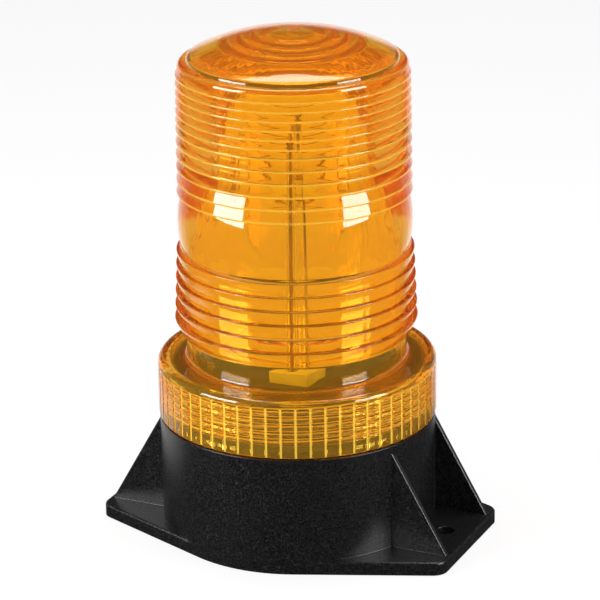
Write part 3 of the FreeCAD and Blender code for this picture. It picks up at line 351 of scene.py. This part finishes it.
def banded(name, dark, pale, rough, pitch, axis="Z"):
    """Wound or ridged surfaces: fine lines across one axis."""
    made, tree = new_material(name)
    place = coordinates(tree)
    lines = node(tree, "ShaderNodeTexWave", {
        "Vector": place, "Scale": 0.314 / (pitch * MM), "Distortion": 0.4, "Detail": 1.0,
    }, bands_direction=axis).outputs["Fac"]
    shader = node(tree, "ShaderNodeBsdfPrincipled", {
        "Base Color": ramp(tree, lines, [(0.0, dark), (1.0, pale)]),
        "Roughness": span(tree, lines, rough[0], rough[1], 0.0, 1.0),
        "Normal": bump(tree, lines, 0.5, pitch / 6),
    })
    node(tree, "ShaderNodeOutputMaterial", {"Surface": shader.outputs[0]})
    return made


AMBER = (0.93, 0.705, 0.09, 1)
AMBER_DEPTH = ((0.9, 0.25, 0.0, 1), 60.0)
METAL = {"Metallic": 1.0}

# Finishes by slot: dark and pale colour, least and most roughness, grain, relief, other sockets
finishes = {
    "seal_rubber": ((0.012, 0.012, 0.012), (0.03, 0.03, 0.028), (0.55, 0.75), 0.5, 0.04, {}),
    "grommet_rubber": ((0.012, 0.012, 0.012), (0.028, 0.028, 0.028), (0.5, 0.7), 0.6, 0.04, {}),
    "holder_plastic": ((0.42, 0.52, 0.5), (0.5, 0.6, 0.58), (0.35, 0.5), 0.5, 0.02, {}),
    "electrode_metal": ((0.33, 0.32, 0.31), (0.5, 0.49, 0.47), (0.3, 0.5), 0.4, 0.02, METAL),
    "lead_metal": ((0.16, 0.10, 0.06), (0.34, 0.24, 0.16), (0.35, 0.6), 0.5, 0.02, {"Metallic": 0.8}),
    "zinc_steel": ((0.58, 0.58, 0.56), (0.76, 0.77, 0.78), (0.25, 0.42), 0.4, 0.01, METAL),
    "nickel_plate": ((0.66, 0.65, 0.61), (0.8, 0.79, 0.76), (0.14, 0.28), 0.6, 0.005, METAL),
    "board_laminate": ((0.008, 0.07, 0.025), (0.012, 0.11, 0.04), (0.25, 0.4), 1.2, 0.02,
                       {"Coat Weight": 0.4}),
    "wire_insulation": ((0.42, 0.03, 0.02), (0.55, 0.05, 0.035), (0.35, 0.5), 0.6, 0.01, {}),
    "capacitor_sleeve": ((0.01, 0.016, 0.05), (0.018, 0.028, 0.08), (0.25, 0.38), 1.0, 0.01, {}),
    "ferrite": ((0.035, 0.033, 0.032), (0.07, 0.066, 0.062), (0.5, 0.7), 0.35, 0.04, {}),
    "bobbin_plastic": ((0.6, 0.56, 0.45), (0.7, 0.66, 0.55), (0.4, 0.55), 0.5, 0.02, {}),
    "film_epoxy": ((0.42, 0.13, 0.02), (0.55, 0.19, 0.03), (0.25, 0.4), 0.9, 0.03, {}),
    "sink_aluminium": ((0.5, 0.51, 0.52), (0.66, 0.67, 0.68), (0.35, 0.5), 0.3, 0.02, METAL),
    "package_epoxy": ((0.012, 0.012, 0.012), (0.03, 0.03, 0.03), (0.4, 0.6), 0.3, 0.02, {}),
    "terminal_plastic": ((0.01, 0.09, 0.03), (0.02, 0.15, 0.05), (0.35, 0.5), 0.6, 0.02, {}),
}
slots = {name: plain(name, *finish) for name, finish in finishes.items()}
slots.update({
    "housing_plastic": housing_plastic(),
    # The lens carries painted highlight lines on its flutes, thread flanks and rib crests.
    "amber_lens": glassy("amber_lens", AMBER, 1.58, (0.01, 0.035), 9.0, 0.05, AMBER_DEPTH, gate_spot_and_painted_highlights,
                         CLEARNESS),
    "tube_glass": glassy("tube_glass", (0.97, 0.99, 0.99, 1), 1.47, (0.0, 0.03), 3.0, 0.12),
    "sleeve_glass": glassy("sleeve_glass", (0.95, 0.96, 0.95, 1), 1.47, (0.02, 0.08), 4.0, 0.05),
    "copper_enamel": banded("copper_enamel", (0.28, 0.07, 0.02), (0.62, 0.22, 0.07), (0.25, 0.45), 0.35),
    "resistor_lacquer": banded("resistor_lacquer", (0.36, 0.2, 0.08), (0.6, 0.42, 0.24), (0.3, 0.45), 1.4,
                               "X"),
})

slot_of = {part["node"]: part["material_slot"] for part in frame["record"]["subparts"]}
for label, solid in nodes.items():
    for entry in solid.material_slots:
        entry.material = slots[slot_of[label]]


# ---- meshes ------------------------------------------------------------------------------------

def finished(name, mesh, body, slot, replaced=()):
    """Scale to metres, recompute normals, shade smooth by angle and place on its body."""
    bmesh.ops.scale(mesh, vec=(MM, MM, MM), verts=mesh.verts)
    bmesh.ops.recalc_face_normals(mesh, faces=mesh.faces)
    data = bpy.data.meshes.new(name)
    mesh.to_mesh(data)
    mesh.free()
    data.shade_smooth()
    data.set_sharp_from_angle(angle=math.radians(38))
    data.materials.append(slots[slot])
    made = bpy.data.objects.new(name, data)
    bpy.context.scene.collection.objects.link(made)
    if replaced:
        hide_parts(*replaced)
    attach(made, body)
    return made


def bow(start, end, depth, count):
    """Points of an arc from start (left out) to end, bowed outward from the axis by depth."""
    chord = Vector(end) - Vector(start)
    half = chord.length / 2
    radius = (half * half + depth * depth) / (2 * depth)
    aside = Vector((chord.y, -chord.x)).normalized()
    centre = Vector(start) + chord / 2 - aside * (radius - depth)
    first = Vector(start) - centre
    swing = 2 * math.asin(min(1.0, half / radius))
    return [tuple(centre + Matrix.Rotation(swing * step / count, 2) @ first)
            for step in range(1, count + 1)]


def corner(centre, radius, first, last, count):
    """Points of a rounded corner, angles in degrees from +R towards +Z."""
    return [(centre[0] + radius * math.cos(math.radians(first + (last - first) * step / count)),
             centre[1] + radius * math.sin(math.radians(first + (last - first) * step / count)))
            for step in range(count + 1)]


def lathe(mesh, rows):
    """Turn rows (r, z, angles, shape) about Z; a row may have twice its neighbour's angles."""
    rings = []
    for radius, height, angles, shape in rows:
        if radius < 1e-6:
            rings.append([mesh.verts.new((0, 0, height))])
            continue
        ring = []
        for angle in angles:
            out = shape(radius, height, angle) if shape else radius
            ring.append(mesh.verts.new((out * math.cos(angle), out * math.sin(angle), height)))
        rings.append(ring)
    for lower, upper in zip(rings, rings[1:]):
        bridge(mesh, lower, upper)


def bridge(mesh, lower, upper):
    """Faces between two rings of the same count, of half the count, or of one point."""
    if len(upper) == 1:
        lower, upper = upper, lower
    if len(upper) == 1:
        return
    if len(lower) == 1:
        for index in range(len(upper)):
            mesh.faces.new((lower[0], upper[index], upper[(index + 1) % len(upper)]))
        return
    if len(lower) == len(upper):
        for index in range(len(lower)):
            following = (index + 1) % len(lower)
            mesh.faces.new((lower[index], lower[following], upper[following], upper[index]))
        return
    if len(lower) < len(upper):
        lower, upper = upper, lower
    for index in range(len(upper)):
        following = (index + 1) % len(upper)
        mesh.faces.new((lower[2 * index], lower[2 * index + 1], lower[(2 * index + 2) % len(lower)],
                        upper[following], upper[index]))


# Angles gather at each flute, and every second one serves the plain rows.
FLUTE_STEPS = (0.0, 0.22, 0.42, 0.6, 0.8, 3.0, 5.2, 5.4, 5.58, 5.78)
fine = [math.radians(FLUTE_TURN * flute + step) for flute in range(FLUTES) for step in FLUTE_STEPS]
coarse = fine[::2]


def fluted(fade):
    """The collar's wall with its flutes, whose depth fades towards the shoulder."""
    def shape(radius, height, angle):
        away = math.degrees(angle) % FLUTE_TURN
        away = min(away, FLUTE_TURN - away)
        share = max(0.0, 1.0 - (away / FLUTE_HALF) ** 2)
        return radius - FLUTE_DEPTH * fade * share
    return shape


def female(radius, height, angle):
    """The collar's thread: a helical groove with a flat root and sloping flanks."""
    flat, flank = 0.26, 0.3
    away = abs((height / PITCH - angle / TURN) % 1.0 - 0.5)
    groove = min(1.0, max(0.0, 1.0 - (away - flat / 2) / flank))
    return radius + (THREAD_ROOT - THREAD_BORE) * groove


def rows_of(points, angles=coarse, shape=None):
    """Rows for the lathe from the points of a section."""
    return [(r, z, angles, shape) for r, z in points]


def collar_rows():
    """The fluted wall with its rounded shoulder, the ledge and the fillet to the lens's neck."""
    rows = rows_of([(COLLAR - FOOT_EDGE, LENS_FOOT)], fine, fluted(1.0))
    foot_corner = corner((COLLAR - FOOT_EDGE, LENS_FOOT + FOOT_EDGE), FOOT_EDGE, -60, 0, 2)
    rows += rows_of(foot_corner, fine, fluted(1.0))
    for drop, fade in ((16.6, 1), (12.6, 1), (8.6, 1), (4.4, 1), (3.8, 1), (3.3, 0.6), (2.8, 0.15)):
        rows += rows_of([(COLLAR, LEDGE - drop)], fine, fluted(fade))
    rows += rows_of(corner((COLLAR - COLLAR_EDGE, LEDGE - COLLAR_EDGE), COLLAR_EDGE, 4, 90, 9))
    rows += rows_of([(COLLAR - 5.0, LEDGE), (LENS_NECK + 2.6, LEDGE)])
    fillet = corner((LENS_NECK + NECK_FILLET, LEDGE + NECK_FILLET), NECK_FILLET, -90, -170, 4)
    return rows + rows_of(fillet + [(LENS_NECK, LEDGE + NECK_FILLET)])


def lower_rib_rows():
    """The neck's flare and the ribs below the belt, each leaning inwards on its way down."""
    rows = rows_of([(LENS_NECK, LEDGE + 4.4)])
    rows += rows_of([(LENS_NECK + out, LOWER_START - drop)
                     for out, drop in ((0.0, 2.0), (0.15, 1.2), (0.6, 0.5), (1.2, 0.15))])
    face = LOWER_PITCH - 0.4
    for index in range(LOWER_COUNT):
        start = LOWER_START + LOWER_PITCH * index
        crest = LOWER_CREST - LOWER_TAPER * index / (LOWER_COUNT - 1)
        valley = crest - face * math.tan(math.radians(26.0 - 2.4 * index))
        rows += rows_of([(valley, start + 0.05)])
        rows += rows_of(bow((valley, start + 0.05), (crest - 0.06, start + face + 0.02), 0.12, 5))
        edge = (crest - LOWER_EDGE, start + LOWER_PITCH - LOWER_EDGE)
        rows += rows_of(corner(edge, LOWER_EDGE, -15, 88, 5))
    return rows


def belt_rows():
    """The clear belt between the two sets of ribs, bowed slightly outwards."""
    start = (BELT_EDGE, BELT_START)
    rows = rows_of([(BELT_EDGE + 0.65, BELT_START - 0.65), (BELT_EDGE + 0.2, BELT_START - 0.3), start])
    return rows + rows_of(bow(start, (BELT_EDGE - 0.35, UPPER_START - 0.1), BELT_BOW, 18))


def upper_rib_rows():
    """The ribs above the belt, each leaning inwards on its way up, the lowest two the least."""
    rows = []
    start = UPPER_START
    for index in range(UPPER_COUNT):
        pitch, edge = (COARSE_PITCH, COARSE_EDGE) if index < COARSE_COUNT else (FINE_PITCH, FINE_EDGE)
        slant = UPPER_SLANTS[min(index, len(UPPER_SLANTS) - 1)]
        crest = UPPER_CREST - UPPER_TAPER * index / (UPPER_COUNT - 1)
        valley = crest - (pitch - 0.4) * math.tan(math.radians(slant))
        rows += rows_of(corner((crest - edge, start + edge + 0.02), edge, -88, slant, 8))
        rows += rows_of(bow((crest - 0.08, start + edge + 0.2), (valley, start + pitch - 0.05), 0.05, 5))
        start += pitch
    return rows


def crown_rows():
    """The rim, the rounded corner and the dome outside; the vault with its rings inside."""
    rim_foot = (UPPER_CREST - 1.25, CROWN_FOOT - 1.69)
    rows = rows_of([rim_foot])
    rows += rows_of(bow(rim_foot, (LENS_NECK - 0.8, CROWN_FOOT), 0.5, 5))
    rows += rows_of([(CROWN_RADIUS + 0.2, CROWN_FOOT + 0.01)])
    centre = CROWN_RADIUS - CROWN_CORNER
    drop = math.sqrt((CROWN_SPHERE - CROWN_CORNER) ** 2 - centre ** 2)
    lean = math.degrees(math.atan2(drop, centre))
    origin = CROWN_FOOT - drop
    rows += rows_of(corner((centre, CROWN_FOOT), CROWN_CORNER, 0, lean, 7))
    rows += rows_of(corner((0, origin), CROWN_SPHERE, lean, 90, 18)[1:-1])
    rows += rows_of([(0, origin + CROWN_SPHERE)])

    def vault(r, lift=0.0):
        return r, origin + math.sqrt(VAULT_SPHERE ** 2 - r ** 2) + lift

    rows += rows_of([vault(r) for r in (0.0, 2.0, 4.0, 6.0, 8.6)])
    for low, high in zip(VAULT_RINGS, VAULT_RINGS[1:]):
        for share in (step / 8 for step in range(1, 9)):
            lift = -VAULT_RING_DEPTH * math.sin(math.pi * share) ** 0.8 if share < 1 else 0.0
            rows += rows_of([vault(low + (high - low) * share, lift)])
    return rows + rows_of([vault(r) for r in (25.5, 28.0, 31.0, 33.2)])


def bore_rows():
    """The drafted bore, the ledge's underside, the collar's thread and the seal's rebate."""
    head = BORE - 1.2
    rows = rows_of([(head - 1.2, BORE_HEAD + 1.9), (head - 0.4, BORE_HEAD + 1.1),
                    (head - 0.05, BORE_HEAD)])
    rows += rows_of([(head + BORE_DRAFT * (BORE_HEAD - z) / (BORE_HEAD - LEDGE_UNDER), z)
                     for z in range(165, 65, -5)])
    rows += rows_of([(BORE, LEDGE_UNDER + 1.7), (BORE + 0.1, LEDGE_UNDER + 0.6),
                     (BORE + 0.7, LEDGE_UNDER), (BORE + 4.0, LEDGE_UNDER), (NECK, LEDGE_UNDER)])
    steps = 60
    first, last = LEDGE_UNDER - 0.1, REBATE_TOP + 0.1
    rows += rows_of([(THREAD_BORE, first - step * (first - last) / steps) for step in range(steps + 1)],
                    coarse, female)
    return rows + rows_of([(REBATE, REBATE_TOP), (REBATE, LENS_FOOT + 0.4), (REBATE + 0.3, LENS_FOOT)])


def make_lens():
    """The one-piece lens: a closed section turned about Z, up the outside and down the inside."""
    mesh = bmesh.new()
    rows = rows_of([(REBATE + 0.3, LENS_FOOT)])
    rows += collar_rows() + lower_rib_rows() + belt_rows() + upper_rib_rows() + crown_rows() + bore_rows()
    lathe(mesh, rows)
    bmesh.ops.remove_doubles(mesh, verts=mesh.verts, dist=1e-4)
    return finished("lens_moulding", mesh, "lens", "amber_lens", ["lens"])


def make_thread():
    """The neck's male thread: a helical ridge that fades out at both ends."""
    mesh = bmesh.new()
    per_turn = 180
    fading = 20
    root = NECK - 0.1
    section = ((-0.36, 0.0), (-0.11, 1.0), (0.11, 1.0), (0.36, 0.0))
    # The angle at which it starts, so that the ridge runs in the lens's groove
    offset = (THREAD_START / PITCH - 0.5) * TURN
    total = int((THREAD_END - THREAD_START) / PITCH * per_turn)
    previous = None
    for step in range(total + 1):
        angle = TURN * step / per_turn + offset
        fade = min(1.0, step / fading, (total - step) / fading)
        middle = THREAD_START + PITCH * step / per_turn
        ring = []
        for shift, out in section:
            radius = root + (THREAD_CREST - root) * out * fade
            spot = (radius * math.cos(angle), radius * math.sin(angle), middle + shift * PITCH)
            ring.append(mesh.verts.new(spot))
        if previous:
            for index in range(len(section)):
                following = (index + 1) % len(section)
                mesh.faces.new((previous[index], previous[following], ring[following], ring[index]))
        else:
            mesh.faces.new(ring[::-1])
        previous = ring
    mesh.faces.new(previous)
    return finished("neck_thread", mesh, "base", "housing_plastic")


make_lens()
make_thread()


# ---- stage, lamps and camera -------------------------------------------------------------------

AZIMUTH = math.radians(25.06)
ELEVATION = math.radians(20.02)
ROLL = math.radians(0.84)
AIM = Vector((0, 0, 0.0837))
CAMERA_DISTANCE = 1.069
FOCAL_LENGTH = 181.6
SENSOR_WIDTH = 36
SHIFT = 0.00617
LAMP_DISTANCE = 0.783
LAMP_HEIGHT = 0.32
LAMP_ELEVATION = 16.8

# Levels that mirrored rays see: off the outside, out of the glass again, and dark between the lamps
ROOM = 0.05
INNER = 0.8
DARK = 0.02

# The room that lights the object, and how far the floor shows as plain white to direct rays
AMBIENT = 0.45
FLOOR_GLOW = 0.82


def heading(azimuth, elevation):
    """The direction from the object at angles from the camera's own azimuth, in degrees."""
    turn = AZIMUTH + math.radians(azimuth)
    lift = math.radians(elevation)
    return Vector((math.sin(turn) * math.cos(lift), -math.cos(turn) * math.cos(lift), math.sin(lift)))


def direct(tree, path):
    """1 for rays that show the background: straight from the camera or through the glass."""
    return maths(tree, "MAXIMUM", path.outputs["Is Camera Ray"], path.outputs["Is Transmission Ray"])


def mirrored(tree, path):
    """1 for rays that were mirrored on the way, outside or inside the glass."""
    return maths(tree, "GREATER_THAN", path.outputs["Glossy Depth"], 0.5)


def dim(tree, path):
    """The unlit side's level: higher for rays that were mirrored inside the glass and left it."""
    return span(tree, path.outputs["Is Transmission Ray"], ROOM, INNER, 0.0, 1.0)


def unlit(tree, path, way):
    """The dim level, darker still straight behind the object above the backdrop, between the lamps."""
    aside = maths(tree, "ABSOLUTE", along(tree, way, heading(90, 0)))
    split = node(tree, "ShaderNodeSeparateXYZ", {"Vector": way})
    dark = product(tree, span(tree, split.outputs["Z"], 0.0, 1.0, 0.2, 0.32),
                   span(tree, aside, 1.0, 0.0, 0.3, 0.42))
    return span(tree, dark, dim(tree, path), DARK, 0.0, 1.0)


def behind(tree, vector, start, end):
    """0 on the camera's side of the studio to 1 on the backdrop's."""
    return span(tree, along(tree, vector, -heading(0, 0)), 0.0, 1.0, start, end)


def floor_level(tree, place, path):
    """What mirrored rays see of the floor: white far behind, and white near the object's rear left."""
    outward = node(tree, "ShaderNodeVectorMath", {0: place}, operation="NORMALIZE").outputs[0]
    away = node(tree, "ShaderNodeVectorMath", {0: place}, operation="LENGTH").outputs["Value"]
    leftward = span(tree, along(tree, outward, heading(-90, 0)), 0.0, 0.8, 0.0, 0.3)
    close = product(tree, above(tree, away, 100.0, 15.0), below(tree, away, 160.0, 30.0),
                    behind(tree, outward, -0.05, 0.25), leftward)
    white = maths(tree, "MAXIMUM", close, behind(tree, outward, 0.55, 0.85))
    return span(tree, white, dim(tree, path), 1.0, 0.0, 1.0)


def make_floor():
    mesh = bmesh.new()
    bmesh.ops.create_circle(mesh, cap_ends=True, radius=6.0, segments=96)
    data = bpy.data.meshes.new("floor")
    mesh.to_mesh(data)
    mesh.free()
    made = bpy.data.objects.new("floor", data)
    bpy.context.scene.collection.objects.link(made)
    made.location.z = -0.2 * MM
    finish, tree = new_material("floor_paper")
    place = coordinates(tree)
    tooth = noise(tree, place, 2.0)
    paper = node(tree, "ShaderNodeBsdfDiffuse", {
        "Color": ramp(tree, tooth, [(0.3, (0.84, 0.84, 0.84)), (0.7, (0.86, 0.86, 0.86))]),
    })
    glow = node(tree, "ShaderNodeEmission", {"Color": WHITE, "Strength": 1.0})
    path = node(tree, "ShaderNodeLightPath")
    share = maths(tree, "MULTIPLY", direct(tree, path), FLOOR_GLOW)
    mixed = node(tree, "ShaderNodeMixShader", {0: share, 1: paper.outputs[0], 2: glow.outputs[0]})
    sheet = node(tree, "ShaderNodeEmission", {"Color": WHITE, "Strength": floor_level(tree, place, path)})
    both = node(tree, "ShaderNodeMixShader", {
        0: mirrored(tree, path), 1: mixed.outputs[0], 2: sheet.outputs[0],
    })
    node(tree, "ShaderNodeOutputMaterial", {"Surface": both.outputs[0]})
    data.materials.append(finish)


def make_world():
    world = bpy.data.worlds.new("studio")
    bpy.context.scene.world = world
    world.use_nodes = True
    tree = world.node_tree
    tree.nodes.clear()
    path = node(tree, "ShaderNodeLightPath")
    room = node(tree, "ShaderNodeBackground", {"Color": WHITE, "Strength": AMBIENT})
    backdrop = node(tree, "ShaderNodeBackground", {"Color": WHITE, "Strength": 1.0})
    mixed = node(tree, "ShaderNodeMixShader", {
        0: direct(tree, path), 1: room.outputs[0], 2: backdrop.outputs[0],
    })
    place = node(tree, "ShaderNodeTexCoord").outputs["Generated"]
    split = node(tree, "ShaderNodeSeparateXYZ", {"Vector": place})
    white = product(tree, span(tree, split.outputs["Z"], 1.0, 0.0, 0.02, 0.16),
                    behind(tree, place, 0.4, 0.85))
    level = span(tree, white, unlit(tree, path, place), 1.0, 0.0, 1.0)
    sheet = node(tree, "ShaderNodeBackground", {"Color": WHITE, "Strength": level})
    both = node(tree, "ShaderNodeMixShader", {
        0: mirrored(tree, path), 1: mixed.outputs[0], 2: sheet.outputs[0],
    })
    node(tree, "ShaderNodeOutputWorld", {"Surface": both.outputs[0]})


def softbox(name, azimuth, elevation, distance, width, height, radiance):
    data = bpy.data.lights.new(name, "AREA")
    data.shape = "RECTANGLE"
    data.size = width
    data.size_y = height
    data.energy = radiance * math.pi * width * height
    made = bpy.data.objects.new(name, data)
    bpy.context.scene.collection.objects.link(made)
    away = heading(azimuth, elevation)
    made.location = AIM + away * distance
    made.rotation_euler = away.to_track_quat("Z", "Y").to_euler()


def make_camera():
    back = heading(0, math.degrees(ELEVATION))
    right = Vector((math.cos(AZIMUTH), math.sin(AZIMUTH), 0))
    up = back.cross(right)
    across = right * math.cos(ROLL) - up * math.sin(ROLL)
    upward = up * math.cos(ROLL) + right * math.sin(ROLL)
    data = bpy.data.cameras.new("camera")
    data.lens = FOCAL_LENGTH
    data.sensor_width = SENSOR_WIDTH
    data.shift_x = SHIFT
    made = bpy.data.objects.new("camera", data)
    bpy.context.scene.collection.objects.link(made)
    turn = Matrix((across, upward, back)).transposed().to_4x4()
    made.matrix_world = Matrix.Translation(AIM + back * CAMERA_DISTANCE) @ turn
    bpy.context.scene.camera = made


make_floor()
make_world()
softbox("softbox_left", -66, LAMP_ELEVATION, LAMP_DISTANCE, 0.42, LAMP_HEIGHT, 14.0)
softbox("softbox_right", 61, LAMP_ELEVATION, LAMP_DISTANCE, 0.36, LAMP_HEIGHT, 12.0)
softbox("softbox_top", 180, 79, 0.8, 0.72, 0.33, 6.0)
make_camera()
bpy.context.scene.view_settings.view_transform = "Standard"
for limit in ("max_bounces", "glossy_bounces", "transmission_bounces"):
    setattr(bpy.context.scene.cycles, limit, 32)
bpy.context.scene.cycles.transparent_max_bounces = 16

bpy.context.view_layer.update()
import json
